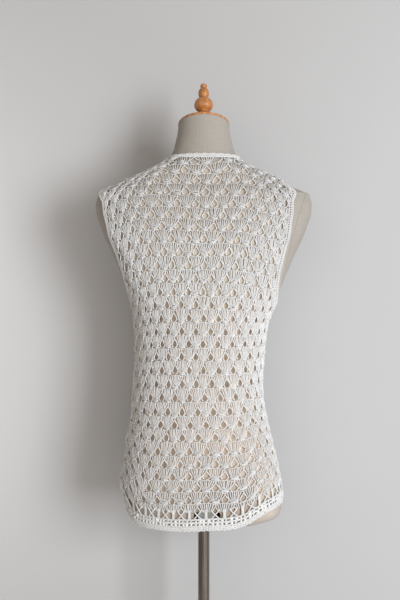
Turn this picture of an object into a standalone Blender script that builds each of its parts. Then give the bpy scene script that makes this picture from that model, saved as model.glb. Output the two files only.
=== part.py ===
"""Sleeveless crochet top worn by a limbless dress form on a pole stand.

Metres, +Z up. The origin is the middle of the base's underside, on the pole's
axis. The wearer faces +Y, so the back of the top faces -Y and the wearer's
right side is at +X.
"""

import math

import bmesh
import bpy
import numpy as np
from mathutils import Matrix, Vector

# Gaps and cloth
SEAM_GAP = 0.0003          # between pieces that are sewn, glued or seated together
EDGE_GAP = 0.0006          # between a panel and an edging that curves along it
CLOTH_THICKNESS = 0.002    # crocheted cotton
EDGING_THICKNESS = 0.0028  # the edgings are worked with a doubled yarn
CLOTH_CLEARANCE = 0.0009   # from the form, where the top lies on it

# Edgings of the top
HEM_BORDER_HEIGHT = 0.036
HEM_NET = (0.0225, 0.0325)  # the border's net, above its edge
HEM_REPEATS = 13           # posts of the hem border on each panel
ARMHOLE_BAND_WIDTH = 0.007
NECKBAND_WIDTH = 0.008

# Neckline, at the shoulder seams, with its drop at the centre back and front
NECKLINE_HEIGHT = 1.465
NECK_DROP = {"back": 0.001, "front": 0.062}
NECK_DROP_START = 1.300

# Armholes: their lowest and highest points, and how far they reach round from
# the side at their foot and at their head, in degrees, on each face
ARMHOLES = {
    "right": {"low": 1.190, "high": 1.418, "back": (34, 50), "front": (40, 56)},
    "left": {"low": 1.198, "high": 1.405, "back": (24, 41), "front": (34, 48)},
}
ARMHOLE_ROUNDING = {"foot": 3, "head": 5}    # powers: a higher one has squarer corners
SHOULDER_SLOPE = 0.47      # rise of the shoulder ridge for each metre along it

# Dress form
FORM_BOTTOM = 0.760
FORM_BOTTOM_ROUNDING = 0.020
NECK_CAP_CENTRE = Vector((0, 0.005, 1.537))
NECK_LEAN = math.radians(15)
ARM_CAP_RIM = Vector((0.2075, 0, 1.397))
ARM_CAP_NORMAL = Vector((0.94, -0.19, -0.26)).normalized()
ARM_CAP_LOWEST = 1.150     # the caps' plane leaves the body just above this
NECK_BASE = (1.4215, 1.499) # the hollow curve from the shoulders to the neck
RECESS_LEFT = -0.019
RECESS_RIGHT = 0.031
RECESS_HEIGHT = 0.036
RECESS_DEPTH_PAST_POLE = 0.018
RECESS_CORNER = 0.006

# Stand
POLE_RADIUS = 0.0115
COLLAR_RADIUS = 0.0145
COLLAR_BOTTOM = 0.738
FLANGE_RADIUS = 0.058
FLANGE_THICKNESS = 0.004
BASE_RADIUS = 0.170
BASE_THICKNESS = 0.010
SOCKET_HEIGHT = 0.045

# Fineness of the round shapes
RING_STEPS = 48
LATHE_STEPS = 20
BASE_STEPS = 48

# Horizontal sections of the form: half its width, its reach behind and in
# front of the pole's axis, and how square the section's corners are
FORM_SECTIONS = (
    # height, half_width, back, front, squareness
    (0.740, 0.1560, 0.113, 0.106, 2.25),
    (0.783, 0.1540, 0.112, 0.105, 2.25),   # hips
    (0.829, 0.1500, 0.111, 0.103, 2.20),
    (0.869, 0.1430, 0.107, 0.100, 2.20),
    (0.909, 0.1330, 0.099, 0.097, 2.20),
    (0.949, 0.1225, 0.090, 0.093, 2.15),
    (0.989, 0.1150, 0.083, 0.090, 2.10),
    (1.029, 0.1120, 0.080, 0.089, 2.10),   # waist
    (1.069, 0.1135, 0.080, 0.092, 2.10),
    (1.109, 0.1180, 0.083, 0.098, 2.10),
    (1.149, 0.1260, 0.088, 0.108, 2.15),
    (1.189, 0.1430, 0.093, 0.120, 2.30),
    (1.207, 0.1510, 0.095, 0.125, 2.40),
    (1.238, 0.1630, 0.098, 0.128, 2.60),   # bust
    (1.264, 0.1740, 0.099, 0.126, 2.80),
    (1.287, 0.1840, 0.099, 0.118, 2.90),
    (1.309, 0.1950, 0.098, 0.108, 3.00),
    (1.335, 0.2050, 0.094, 0.096, 3.05),
    (1.355, 0.2120, 0.089, 0.086, 3.15),
    (1.377, 0.2140, 0.082, 0.077, 3.30),   # shoulder tips
    (1.3965, 0.2090, 0.074, 0.068, 3.60),
    (1.4065, 0.1840, 0.068, 0.062, 3.80),
    (1.4215, 0.1520, 0.062, 0.056, 3.80),
    (1.4410, 0.1140, 0.056, 0.051, 3.30),
    (1.4610, 0.0780, 0.052, 0.049, 2.50),   # neck base
    (1.4770, 0.0650, 0.050, 0.049, 2.10),
    (1.499, 0.0575, 0.048, 0.050, 2.00),
    (1.518, 0.0530, 0.046, 0.052, 2.00),
    (1.545, 0.0495, 0.044, 0.055, 2.00),
    (1.565, 0.0490, 0.043, 0.057, 2.00),
)

# How far the top hangs clear of the form beyond its clearance
TOP_EASE = (
    # height, right, left, back, front
    (0.740, 0.001, 0.001, 0.001, 0.002),
    (0.791, 0.001, 0.001, 0.001, 0.002),
    (0.829, 0.001, 0.014, 0.001, 0.003),
    (0.869, 0.001, 0.013, 0.002, 0.005),
    (0.909, 0.001, 0.019, 0.007, 0.011),
    (0.949, 0.002, 0.021, 0.014, 0.017),
    (0.989, 0.002, 0.026, 0.019, 0.021),
    (1.029, 0.003, 0.026, 0.021, 0.023),
    (1.069, 0.004, 0.022, 0.019, 0.021),
    (1.109, 0.003, 0.017, 0.014, 0.015),
    (1.149, 0.002, 0.012, 0.008, 0.008),
    (1.189, 0.002, 0.002, 0.004, 0.002),
    (1.240, 0.001, 0.001, 0.001, 0.001),
    (1.300, 0.001, 0.001, 0.001, 0.003),
    (1.360, 0.001, 0.001, 0.001, 0.001),
    (1.392, 0.0017, 0.0017, 0.0023, 0.0028),
    (1.414, 0.0013, 0.0013, 0.0019, 0.0026),
    (1.444, 0.0007, 0.0007, 0.0013, 0.0019),
    (1.565, 0.0005, 0.0005, 0.0005, 0.0005),
)

# The hem's edge, by the angle round the body: 0 is the right side, -90 the
# centre back and 90 the centre front. It hangs lowest left of the centre back.
SIDE_HEM_HEIGHT = 0.7930
HEM_EDGE = (
    # angle, height
    (-210, 0.7740),
    (-180, SIDE_HEM_HEIGHT),
    (-161, 0.7840),
    (-145, 0.7645),
    (-125, 0.7605),
    (-90, 0.7625),
    (-63, 0.7680),
    (-47, 0.7840),
    (-20, 0.7930),
    (0, SIDE_HEM_HEIGHT),
    (30, 0.7850),
    (60, 0.7720),
    (90, 0.7680),
    (120, 0.7700),
    (145, 0.7790),
    (163, 0.7880),
    (180, SIDE_HEM_HEIGHT),
    (199, 0.7840),
)

# Heights of the panels' rows below the armholes, as shares of the way up
BODY_ROWS = (0, 0.11, 0.22, 0.33, 0.44, 0.56, 0.68, 0.80, 0.91)
# Rows beside the armholes, from their foot (-1) to their head (1), close
# together where the edge turns
ARMHOLE_ROWS = (-1, -0.998, -0.987, -0.957, -0.904, -0.825, -0.714, -0.58, -0.43, -0.26, -0.09,
                0.09, 0.27, 0.45, 0.63, 0.794, 0.891, 0.953, 0.9885, 0.9985, 0.99985, 1)
# Rows from the shoulder tips to the neckline, as shares of the way up
SHOULDER_ROWS = (0.25, 0.5, 0.75, 1)
# Height at the centre of the rows that end at the armholes' feet and heads
CENTRE_AT_FEET = 1.125
CENTRE_AT_HEADS = 1.430
PANEL_COLUMNS = 18


def smooth_table(rows):
    """Reads a table's columns at any value of its first one, on smooth curves."""
    table = np.array(rows, dtype=float)
    places = table[:, 0]
    slopes = np.gradient(table[:, 1:], places, axis=0)

    def read(place):
        index = int(np.clip(np.searchsorted(places, place) - 1, 0, len(places) - 2))
        span = places[index + 1] - places[index]
        part = (place - places[index]) / span
        start = (1 + 2 * part) * (1 - part) ** 2 * table[index, 1:]
        end = part ** 2 * (3 - 2 * part) * table[index + 1, 1:]
        lean_out = span * part * (1 - part) ** 2 * slopes[index]
        lean_in = span * part ** 2 * (part - 1) * slopes[index + 1]
        return start + end + lean_out + lean_in

    return read


form_section = smooth_table(FORM_SECTIONS)
top_ease = smooth_table(TOP_EASE)
hem_edge = smooth_table(HEM_EDGE)


def form_point(angle, height):
    """A point on the form; the angle runs from the right side towards the front."""
    half_width, back, front, squareness = form_section(height)
    across, along = math.cos(angle), math.sin(angle)
    corner = (abs(across) ** squareness + abs(along) ** squareness) ** (-1 / squareness)
    reach = front if along > 0 else back
    return Vector((half_width * corner * across, reach * corner * along, height))


def form_normal(angle, height):
    """The outward direction of the form's surface."""
    step_round, step_up = 0.01, 0.001
    round_it = form_point(angle + step_round, height) - form_point(angle - step_round, height)
    up_it = form_point(angle, height + step_up) - form_point(angle, height - step_up)
    return round_it.cross(up_it).normalized()


def top_point(angle, height, lift=0.0):
    """A point of the top, lifted outwards from the inner face of its cloth."""
    right, left, back, front = top_ease(height)
    side_share = math.cos(angle) ** 2
    side = right if math.cos(angle) > 0 else left
    face = front if math.sin(angle) > 0 else back
    ease = side * side_share + face * (1 - side_share)
    return form_point(angle, height) + form_normal(angle, height) * (CLOTH_CLEARANCE + ease + lift)


def make_material(name, colour, roughness, metallic=0.0):
    """A plain Principled material."""
    material = bpy.data.materials.new(name)
    material.use_nodes = True
    shader = material.node_tree.nodes["Principled BSDF"]
    shader.inputs["Base Color"].default_value = (*colour, 1)
    shader.inputs["Roughness"].default_value = roughness
    shader.inputs["Metallic"].default_value = metallic
    material.diffuse_color = (*colour, 1)
    return material


def make_object(name, points, faces, material, sharp_angle=math.radians(35)):
    """An object with a closed mesh whose faces point outwards."""
    mesh = bpy.data.meshes.new(name)
    mesh.from_pydata(points, [], faces)
    shape = bmesh.new()
    shape.from_mesh(mesh)
    bmesh.ops.recalc_face_normals(shape, faces=shape.faces)
    shape.to_mesh(mesh)
    shape.free()
    mesh.shade_smooth()
    mesh.set_sharp_from_angle(angle=sharp_angle)
    mesh.materials.append(material)
    part = bpy.data.objects.new(name, mesh)
    bpy.context.scene.collection.objects.link(part)
    return part


def make_wall(name, inner, outer, faces, material):
    """A wall between two like sets of points, closed round its edges and holes."""
    count = len(inner)
    directed = {}
    for face in faces:
        for start, end in zip(face, face[1:] + face[:1]):
            directed[start, end] = True
    rims = [(start, end) for start, end in directed if (end, start) not in directed]
    outer_faces = [tuple(corner + count for corner in face) for face in faces]
    inner_faces = [tuple(reversed(face)) for face in faces]
    rim_faces = [(end, start, start + count, end + count) for start, end in rims]
    return make_object(name, inner + outer, inner_faces + outer_faces + rim_faces, material)


def make_lathe(name, profile, material, closed=False, steps=LATHE_STEPS):
    """A turned piece: its profile of (radius, height) goes once round the Z axis.

    An open profile runs from the bottom of the axis to its top, and a closed
    one goes round a ring's section.
    """
    points = []
    faces = []
    for radius, height in profile:
        for step in range(steps):
            turn = 2 * math.pi * step / steps
            points.append((radius * math.cos(turn), radius * math.sin(turn), height))
    bands = len(profile) if closed else len(profile) - 1
    for band in range(bands):
        low = band * steps
        high = (band + 1) % len(profile) * steps
        for step in range(steps):
            after = (step + 1) % steps
            faces.append((low + step, low + after, high + after, high + step))
    if not closed:
        faces.append(tuple(reversed(range(steps))))
        faces.append(tuple(range(bands * steps, (bands + 1) * steps)))
    return make_object(name, points, faces, material)


def armhole_height(side, place, grow):
    """Height of a place on an armhole's edge, from its foot (-1) to its head (1).

    The edge can be grown outwards into the cloth.
    """
    low = ARMHOLES[side]["low"] - grow
    high = ARMHOLES[side]["high"] + grow * SHOULDER_SLOPE
    return (low + high) / 2 + (high - low) / 2 * place


def armhole_angle(side, face, place, grow):
    """How far an armhole's edge reaches round the body from the side, in radians."""
    foot, head = ARMHOLES[side][face]
    reach = math.radians(foot + (head - foot) * (place + 1) / 2)
    height = armhole_height(side, place, grow)
    spread = (form_point(-0.9, height) - form_point(-0.7, height)).length / 0.2
    power = ARMHOLE_ROUNDING["head" if place > 0 else "foot"]
    return (reach + grow / spread) * (1 - abs(place) ** power) ** (1 / power)


def neck_share(angle):
    """How much of the neckline's drop is reached at an angle."""
    return abs(math.sin(angle)) ** 5


def drop_at(face, side_height, angle):
    """How far a row hangs below its ends, to follow the neckline above it."""
    climb = (side_height - NECK_DROP_START) / (NECKLINE_HEIGHT - NECK_DROP_START)
    climb = min(max(climb, 0), 1)
    return NECK_DROP[face] * climb ** 2 * (3 - 2 * climb) * neck_share(angle)


def hem_height(angle):
    """Height of the hem's edge at an angle round the body."""
    return float(hem_edge(math.degrees(angle))[0])


def side_gap_angle(height):
    """Half the gap of a side or shoulder seam, as an angle round the body."""
    breadth = (form_point(0.1, height) - form_point(-0.1, height)).length / 0.2
    return SEAM_GAP / 2 / breadth


def face_angles(face):
    """The angles at which a panel meets its right and its left side seam."""
    return (0.0, -math.pi) if face == "back" else (0.0, math.pi)


def panel_rows(face, grow):
    """A panel's rows: the angle and height of both ends, and the height between them."""
    rows = []
    feet_centre, heads_centre = CENTRE_AT_FEET, CENTRE_AT_HEADS
    hem_centre = hem_height(sum(face_angles(face)) / 2) + HEM_BORDER_HEIGHT + EDGE_GAP
    for share in BODY_ROWS:
        ends = []
        for side, seam in zip(("right", "left"), face_angles(face)):
            hem = hem_height(seam) + HEM_BORDER_HEIGHT + EDGE_GAP
            ends.append((0.0, hem + (armhole_height(side, -1, grow) - hem) * share))
        rows.append((ends, hem_centre + (feet_centre - hem_centre) * share))
    for index, place in enumerate(ARMHOLE_ROWS):
        ends = []
        for side in ("right", "left"):
            ends.append((armhole_angle(side, face, place, grow), armhole_height(side, place, grow)))
        share = index / (len(ARMHOLE_ROWS) - 1)
        rows.append((ends, feet_centre + (heads_centre - feet_centre) * share))
    top = NECKLINE_HEIGHT - EDGE_GAP
    for share in SHOULDER_ROWS:
        ends = []
        for side in ("right", "left"):
            tip = armhole_height(side, 1, grow)
            ends.append((0.0, tip + (top - tip) * share))
        rows.append((ends, heads_centre + (top - heads_centre) * share))
    return rows


def panel_grid(face):
    """Places of a panel's rows of points, each an angle and a height."""
    turn = -1 if face == "back" else 1
    grow = ARMHOLE_BAND_WIDTH + EDGE_GAP
    grid = []
    for index, (ends, centre) in enumerate(panel_rows(face, grow)):
        (right_reach, right_height), (left_reach, left_height) = ends
        right = turn * (right_reach + side_gap_angle(right_height))
        left = turn * (math.pi - left_reach - side_gap_angle(left_height))
        row = []
        for column in range(PANEL_COLUMNS + 1):
            share = column / PANEL_COLUMNS
            angle = right + (left - right) * share
            level = right_height + (left_height - right_height) * share
            middle_share = math.sin(math.pi * share) ** 2
            height = level + (centre - (right_height + left_height) / 2) * middle_share
            if index == 0:
                height = hem_height(angle) + HEM_BORDER_HEIGHT + EDGE_GAP
            row.append((angle, height - drop_at(face, height, angle)))
        grid.append(row)
    return grid


def build_panel(name, face, material):
    """The back or the front of the top, from the hem border to the shoulders."""
    grid = panel_grid(face)
    places = [place for row in grid for place in row]
    inner = [top_point(angle, height) for angle, height in places]
    outer = [top_point(angle, height, CLOTH_THICKNESS) for angle, height in places]
    width = PANEL_COLUMNS + 1
    faces = []
    for row in range(len(grid) - 1):
        for column in range(PANEL_COLUMNS):
            corner = row * width + column
            faces.append((corner, corner + 1, corner + 1 + width, corner + width))
    return make_wall(name, inner, outer, faces, material)


def hem_cell():
    """One repeat of the hem border, as faces of (share across, height) corners.

    A post stands under each fan, at the middle. The legs that cross between
    two posts leave two large gaps beside the crossing, which lies between two
    repeats, and a small one above and below it.
    """
    foot, head = HEM_NET
    middle = (foot + head) / 2
    post = 0.09
    leg_out, leg_in = 0.20, 0.30
    knot_side, knot_height = 0.05, 0.0018
    lines = (0, leg_out, leg_in, 0.5 - post)
    cell = []
    for side in (1, -1):
        places = [0.5 + side * (line - 0.5) for line in (*lines, 0.5)]
        for low, high in ((0, foot), (head, HEM_BORDER_HEIGHT)):
            for start, end in zip(places, places[1:]):
                cell.append(((start, low), (end, low), (end, high), (start, high)))
        crossing, out, into, beside_post, centre = places
        knot = crossing + side * knot_side
        cell.append(((beside_post, foot), (centre, foot), (centre, head), (beside_post, head)))
        cell.append(((crossing, middle - knot_height), (knot, middle), (crossing, middle + knot_height)))
        cell.append(((crossing, middle - knot_height), (out, foot), (into, foot), (knot, middle)))
        cell.append(((crossing, middle + knot_height), (knot, middle), (into, head), (out, head)))
    return [corners if is_anticlockwise(corners) else corners[::-1] for corners in cell]


def is_anticlockwise(corners):
    """Whether the corners of a flat face go round it anticlockwise."""
    area = 0
    for (x, y), (next_x, next_y) in zip(corners, corners[1:] + corners[:1]):
        area += x * next_y - next_x * y
    return area > 0


def build_hem(name, face, material):
    """The openwork border crocheted on to a panel's lower edge."""
    turn = -1 if face == "back" else 1
    gap = side_gap_angle(SIDE_HEM_HEIGHT)
    places = {}
    faces = []
    for repeat in range(HEM_REPEATS):
        for corners in hem_cell():
            face_corners = []
            for share, rise in corners:
                key = (round(repeat + share, 4), round(rise, 5))
                face_corners.append(places.setdefault(key, len(places)))
            faces.append(tuple(face_corners))
    inner = []
    outer = []
    for across, rise in places:
        angle = turn * (gap + (math.pi - 2 * gap) * across / HEM_REPEATS)
        height = hem_height(angle) + rise
        inner.append(top_point(angle, height))
        outer.append(top_point(angle, height, EDGING_THICKNESS))
    return make_wall(name, inner, outer, faces, material)


def build_ring(name, edges, material):
    """A closed band of cloth between two loops of places."""
    inner = []
    outer = []
    for first, second in edges:
        for angle, height in (first, second):
            inner.append(top_point(angle, height))
            outer.append(top_point(angle, height, EDGING_THICKNESS))
    count = len(edges)
    faces = []
    for step in range(count):
        here, after = 2 * step, 2 * ((step + 1) % count)
        faces.append((here, after, after + 1, here + 1))
    return make_wall(name, inner, outer, faces, material)


def build_armhole_band(name, side, material):
    """The edging round an armhole, from its foot up the back and down the front."""
    edges = []
    stops = [("back", place) for place in ARMHOLE_ROWS]
    stops += [("front", place) for place in reversed(ARMHOLE_ROWS[1:-1])]
    for face, place in stops:
        turn = -1 if face == "back" else 1
        pair = []
        for grow in (0, ARMHOLE_BAND_WIDTH):
            reach = turn * armhole_angle(side, face, place, grow)
            angle = reach if side == "right" else math.pi - reach
            height = armhole_height(side, place, grow)
            if side == "left" and angle > math.pi:
                angle -= 2 * math.pi
            pair.append((angle, height - drop_at(face, height, angle)))
        edges.append(tuple(pair))
    return build_ring(name, edges, material)


def build_neckband(name, material):
    """The edging round the neck, standing on the neckline."""
    edges = []
    for step in range(2 * PANEL_COLUMNS):
        angle = -math.pi + math.pi * step / PANEL_COLUMNS
        face = "front" if angle > 0 else "back"
        low = NECKLINE_HEIGHT - NECK_DROP[face] * neck_share(angle)
        climb = (top_point(angle, low + 0.001) - top_point(angle, low)).length / 0.001
        edges.append(((angle, low), (angle, low + NECKBAND_WIDTH / climb)))
    return build_ring(name, edges, material)


def torso_rings():
    """Heights of the torso's rings, with how far each is drawn in at the bottom edge."""
    rings = []
    for share in (0, 0.3, 0.6, 0.85, 1):
        height = FORM_BOTTOM + FORM_BOTTOM_ROUNDING * share
        inset = FORM_BOTTOM_ROUNDING * (1 - math.sqrt(1 - (1 - share) ** 2))
        rings.append((height, inset))
    above_rounding = FORM_BOTTOM + 2 * FORM_BOTTOM_ROUNDING
    heights = [section[0] for section in FORM_SECTIONS if section[0] > above_rounding]
    for low, high in zip(heights, heights[1:]):
        rings.append((low, 0.0))
        if NECK_BASE[0] <= low < NECK_BASE[1]:
            rings.append(((low + high) / 2, 0.0))
    rings.append((heights[-1], 0.0))
    return rings


def split_by_plane(shape, point, normal, keep_outside, lowest=0.0):
    """Cuts a closed mesh above a height by a plane and closes it with a flat face."""
    geometry = [corner for corner in shape.verts if corner.co.z > lowest]
    for cell in shape.edges[:] + shape.faces[:]:
        if min(corner.co.z for corner in cell.verts) > lowest:
            geometry.append(cell)
    cut = bmesh.ops.bisect_plane(shape, geom=geometry, plane_co=point, plane_no=normal,
                                 clear_outer=not keep_outside, clear_inner=keep_outside)
    rim = [item for item in cut["geom_cut"] if isinstance(item, bmesh.types.BMEdge)]
    bmesh.ops.edgeloop_fill(shape, edges=rim)


def cut_copy(name, source, cuts, material):
    """A copy of a mesh, cut by planes of (point, normal, keep the outer side, lowest)."""
    shape = bmesh.new()
    shape.from_mesh(source)
    for point, normal, keep_outside, lowest in cuts:
        split_by_plane(shape, point, normal, keep_outside, lowest)
    bmesh.ops.recalc_face_normals(shape, faces=shape.faces)
    mesh = bpy.data.meshes.new(name)
    shape.to_mesh(mesh)
    shape.free()
    mesh.shade_smooth()
    mesh.set_sharp_from_angle(angle=math.radians(35))
    mesh.materials.append(material)
    part = bpy.data.objects.new(name, mesh)
    bpy.context.scene.collection.objects.link(part)
    return part


def recess_cutter():
    """The arched space at the foot of the back that the stand's clamp stands in."""
    top = FORM_BOTTOM + RECESS_HEIGHT
    outline = [(RECESS_RIGHT, FORM_BOTTOM - RECESS_HEIGHT), (RECESS_RIGHT, top - RECESS_CORNER)]
    for centre, start in ((RECESS_RIGHT - RECESS_CORNER, 0), (RECESS_LEFT + RECESS_CORNER, 90)):
        for step in range(1, 5):
            turn = math.radians(start + 90 * step / 5)
            outline.append((centre + RECESS_CORNER * math.cos(turn),
                            top - RECESS_CORNER + RECESS_CORNER * math.sin(turn)))
        if start == 0:
            outline.append((centre, top))
            outline.append((RECESS_LEFT + RECESS_CORNER, top))
    outline += [(RECESS_LEFT, top - RECESS_CORNER), (RECESS_LEFT, FORM_BOTTOM - RECESS_HEIGHT)]
    count = len(outline)
    points = [(x, -0.2, z) for x, z in outline]
    points += [(x, RECESS_DEPTH_PAST_POLE, z) for x, z in outline]
    faces = [tuple(range(count)), tuple(range(2 * count - 1, count - 1, -1))]
    for step in range(count):
        after = (step + 1) % count
        faces.append((step, after, after + count, step + count))
    cutter = make_object("recess_cutter", points, faces, make_material("cutter", (0.5, 0.5, 0.5), 1))
    cutter.hide_render = True
    cutter.display_type = "WIRE"
    return cutter


def build_form(linen):
    """The padded, linen-covered form with its two arm caps."""
    rings = torso_rings()
    points = []
    for height, inset in rings:
        for step in range(RING_STEPS):
            angle = 2 * math.pi * step / RING_STEPS
            inward = form_normal(angle, height) * -inset
            inward.z = 0
            points.append(form_point(angle, height) + inward)
    faces = [tuple(reversed(range(RING_STEPS)))]
    for band in range(len(rings) - 1):
        for step in range(RING_STEPS):
            low, after = band * RING_STEPS + step, band * RING_STEPS + (step + 1) % RING_STEPS
            faces.append((low, after, after + RING_STEPS, low + RING_STEPS))
    faces.append(tuple(range((len(rings) - 1) * RING_STEPS, len(rings) * RING_STEPS)))
    whole = bpy.data.meshes.new("whole_form")
    whole.from_pydata(points, [], faces)

    neck_normal = Vector((0, math.sin(NECK_LEAN), math.cos(NECK_LEAN)))
    neck_plane = (NECK_CAP_CENTRE, neck_normal, False, 0.0)
    arm_planes = {}
    for side, mirror in (("right", 1), ("left", -1)):
        rim = Vector((ARM_CAP_RIM.x * mirror, ARM_CAP_RIM.y, ARM_CAP_RIM.z))
        normal = Vector((ARM_CAP_NORMAL.x * mirror, ARM_CAP_NORMAL.y, ARM_CAP_NORMAL.z))
        arm_planes[side] = (rim, normal)
    cuts = [neck_plane]
    cuts += [(rim, normal, False, ARM_CAP_LOWEST) for rim, normal in arm_planes.values()]
    torso = cut_copy("form_torso", whole, cuts, linen)
    recess = torso.modifiers.new("recess", "BOOLEAN")
    recess.operation = "DIFFERENCE"
    recess.object = recess_cutter()
    above_waist = (Vector((0, 0, ARM_CAP_LOWEST)), Vector((0, 0, 1)), True, 0.0)
    for side, (rim, normal) in arm_planes.items():
        cap_plane = (rim + normal * SEAM_GAP, normal, True, 0.0)
        cut_copy(f"form_arm_cap_{side}", whole, [above_waist, cap_plane], linen)
    bpy.data.meshes.remove(whole)


def build_neck_cap_and_finial(wood):
    """The turned wooden cap that closes the neck, and the finial screwed into it."""
    cap_profile = (
        # radius, distance along the neck's axis
        (0.0495, SEAM_GAP), (0.0512, 0.0012), (0.0518, 0.0030), (0.0512, 0.0048),
        (0.0490, 0.0062), (0.0430, 0.0085), (0.0350, 0.0130), (0.0260, 0.0180),
        (0.0180, 0.0235), (0.0130, 0.0280), (0.0105, 0.0308),
    )
    finial_profile = (
        (0.0085, 0.0311), (0.0080, 0.0352), (0.0115, 0.0362), (0.0160, 0.0388),
        (0.0188, 0.0435), (0.0193, 0.0485), (0.0180, 0.0540), (0.0140, 0.0590),
        (0.0095, 0.0617), (0.0077, 0.0632), (0.0080, 0.0650), (0.0098, 0.0675),
        (0.0109, 0.0710), (0.0110, 0.0755), (0.0098, 0.0805), (0.0070, 0.0845),
        (0.0052, 0.0866), (0.0064, 0.0880), (0.0071, 0.0905), (0.0062, 0.0932),
        (0.0040, 0.0946), (0.0016, 0.0950),
    )
    lean = Matrix.Translation(NECK_CAP_CENTRE) @ Matrix.Rotation(-NECK_LEAN, 4, "X")
    for name, profile in (("neck_cap", cap_profile), ("neck_finial", finial_profile)):
        turned = make_lathe(name, profile, wood)
        turned.matrix_world = lean


def build_stand(steel, black, grey):
    """The round weighted base, the pole, and the flange and clamp that carry the form."""
    base_top = BASE_THICKNESS
    base_profile = ((BASE_RADIUS - 0.002, 0), (BASE_RADIUS, 0.002), (BASE_RADIUS, base_top - 0.003),
                    (BASE_RADIUS - 0.003, base_top))
    make_lathe("stand_base", base_profile, black, steps=BASE_STEPS)
    socket_low = base_top + SEAM_GAP
    socket_inner = POLE_RADIUS + SEAM_GAP
    socket_profile = ((socket_inner, socket_low), (0.030, socket_low), (0.030, socket_low + 0.004),
                      (0.0165, socket_low + 0.007), (0.0165, SOCKET_HEIGHT - 0.002),
                      (0.0145, SOCKET_HEIGHT), (socket_inner, SOCKET_HEIGHT))
    make_lathe("stand_socket", socket_profile, steel, closed=True)
    pole_top = FORM_BOTTOM + RECESS_HEIGHT - SEAM_GAP
    pole_profile = ((POLE_RADIUS, socket_low), (POLE_RADIUS, pole_top))
    make_lathe("stand_pole", pole_profile, steel)
    flange_top = FORM_BOTTOM - SEAM_GAP
    flange_low = flange_top - FLANGE_THICKNESS
    flange_inner = COLLAR_RADIUS + SEAM_GAP
    flange_profile = ((flange_inner, flange_low), (FLANGE_RADIUS - 0.001, flange_low),
                      (FLANGE_RADIUS, flange_low + 0.001), (FLANGE_RADIUS, flange_top),
                      (flange_inner, flange_top))
    make_lathe("form_flange", flange_profile, black, closed=True)
    collar_top = FORM_BOTTOM + RECESS_HEIGHT - 0.006
    collar_profile = ((socket_inner, COLLAR_BOTTOM), (COLLAR_RADIUS - 0.001, COLLAR_BOTTOM),
                      (COLLAR_RADIUS, COLLAR_BOTTOM + 0.001), (COLLAR_RADIUS, collar_top - 0.001),
                      (COLLAR_RADIUS - 0.001, collar_top), (socket_inner, collar_top))
    make_lathe("form_clamp", collar_profile, grey, closed=True)


for old in list(bpy.data.objects):
    bpy.data.objects.remove(old)

cotton = make_material("crochet_cotton", (0.80, 0.77, 0.72), 0.9)
linen = make_material("beige_linen", (0.56, 0.50, 0.42), 0.9)
wood = make_material("turned_wood", (0.52, 0.22, 0.07), 0.4)
steel = make_material("dark_chrome", (0.25, 0.23, 0.22), 0.2, 1.0)
black = make_material("black_steel", (0.03, 0.03, 0.03), 0.5, 0.6)
grey = make_material("grey_steel", (0.35, 0.36, 0.34), 0.4, 0.9)

build_form(linen)
build_neck_cap_and_finial(wood)
build_stand(steel, black, grey)
for face in ("back", "front"):
    build_panel(f"top_{face}", face, cotton)
    build_hem(f"top_hem_{face}", face, cotton)
for side in ("left", "right"):
    build_armhole_band(f"top_armhole_{side}", side, cotton)
build_neckband("top_neckband", cotton)
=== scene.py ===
"""A sleeveless crochet top on a dress form: its yarn, and the linen, wood and steel under it."""

import math

import bpy
import numpy as np
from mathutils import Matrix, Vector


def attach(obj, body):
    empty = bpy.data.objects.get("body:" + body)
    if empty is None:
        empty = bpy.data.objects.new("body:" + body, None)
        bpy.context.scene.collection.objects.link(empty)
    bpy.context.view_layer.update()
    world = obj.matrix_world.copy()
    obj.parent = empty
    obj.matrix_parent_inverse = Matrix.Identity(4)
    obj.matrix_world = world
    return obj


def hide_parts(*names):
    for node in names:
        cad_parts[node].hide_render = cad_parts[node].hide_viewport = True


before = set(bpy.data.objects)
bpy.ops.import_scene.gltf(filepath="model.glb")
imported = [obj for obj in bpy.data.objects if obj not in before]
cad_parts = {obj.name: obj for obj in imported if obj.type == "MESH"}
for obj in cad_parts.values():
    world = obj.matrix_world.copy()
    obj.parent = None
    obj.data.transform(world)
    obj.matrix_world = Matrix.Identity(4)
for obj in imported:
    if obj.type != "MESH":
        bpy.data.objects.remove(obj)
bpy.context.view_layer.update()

# The form's cover. Beige linen is stretched over the padded body and over the
# two caps that close the shoulders, and is stitched together at the caps' rims.
LINEN = (0.375, 0.345, 0.312)
LINEN_SHADED = (0.32, 0.292, 0.255)
LINEN_PAINTED_LIGHT_UNDER_TOP = (0.50, 0.445, 0.38)        # painted light: paler linen under the top, for light that passes through the lace
# Painted light: at the waist the linen under the top is painted paler still.
LINEN_PAINTED_LIGHT_WAIST = (0.66, 0.55, 0.45)
LINEN_PAINTED_SHADE_HIPS = (0.35, 0.29, 0.24)         # painted shade on the middle and right of the hips, where the window light falls


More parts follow.
